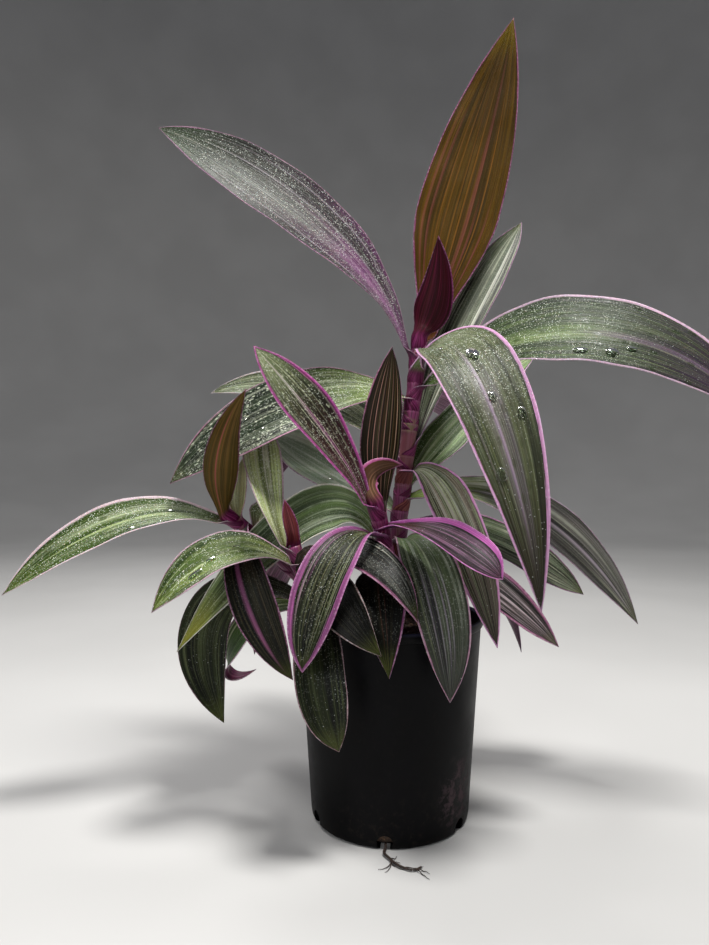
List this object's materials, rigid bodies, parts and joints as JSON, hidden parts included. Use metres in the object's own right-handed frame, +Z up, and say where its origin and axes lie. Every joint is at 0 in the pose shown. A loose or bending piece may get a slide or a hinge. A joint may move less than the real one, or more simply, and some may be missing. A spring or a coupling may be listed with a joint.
{
  "type": "potted tradescantia",
  "caption": "Pot plant with leaning stems and rosettes of long pointed variegated leaves, silvery green with pink edges, in a round black nursery pot.",
  "frame": {"origin": "centre of the pot's flat foot, on the surface the pot stands on", "axes": "+Z up the plant, -Y towards the side the plant is seen from, +X to that viewer's right"},
  "size_m": [0.3849, 0.2083, 0.4422],
  "materials": {
    "pot": "satin",
    "soil": "matte",
    "stem": "satin",
    "root": "matte",
    "leaf_silver": "satin",
    "leaf_dark": "satin",
    "leaf_bronze": "satin",
    "leaf_magenta": "satin"
  },
  "bodies": {
    "root": {"pot": "pot", "soil": "soil", "root": "root", "stem_tall": "stem", "stem_front": "stem", "stem_left": "stem", "stem_far": "stem", "leaf_tall_upright": "leaf_bronze", "leaf_tall_spear": "leaf_magenta", "leaf_tall_upper_left": "leaf_silver", "leaf_tall_hanging_right": "leaf_silver", "leaf_tall_arching_right": "leaf_silver", "leaf_tall_left": "leaf_silver", "leaf_tall_back_left": "leaf_silver", "leaf_tall_back_right": "leaf_silver", "leaf_tall_folded": "leaf_silver", "leaf_tall_far_left": "leaf_silver", "leaf_tall_clasping": "leaf_silver", "leaf_tall_back_ascending": "leaf_silver", "leaf_tall_right": "leaf_silver", "leaf_tall_behind": "leaf_silver", "leaf_tall_lower_right": "leaf_silver", "leaf_tall_centre": "leaf_silver", "leaf_tall_striped": "leaf_silver", "leaf_tall_low_back": "leaf_silver", "leaf_tall_low_right": "leaf_silver", "leaf_front_young": "leaf_silver", "leaf_front_upright": "leaf_dark", "leaf_front_ascending": "leaf_dark", "leaf_front_folded": "leaf_silver", "leaf_front_hanging": "leaf_dark", "leaf_front_back_left": "leaf_silver", "leaf_front_low": "leaf_dark", "leaf_left_spear": "leaf_magenta", "leaf_left_reaching": "leaf_silver", "leaf_left_upright": "leaf_silver", "leaf_left_short": "leaf_dark", "leaf_left_crossing": "leaf_silver", "leaf_left_under": "leaf_dark", "leaf_left_drooping": "leaf_dark", "leaf_left_curled": "leaf_silver", "leaf_left_over_pot": "leaf_dark", "leaf_far_inner": "leaf_silver", "leaf_far_upright": "leaf_bronze", "leaf_far_short": "leaf_silver", "leaf_far_long": "leaf_silver", "leaf_far_hanging": "leaf_dark", "leaf_far_low_back": "leaf_silver"}
  },
  "joints": []
}
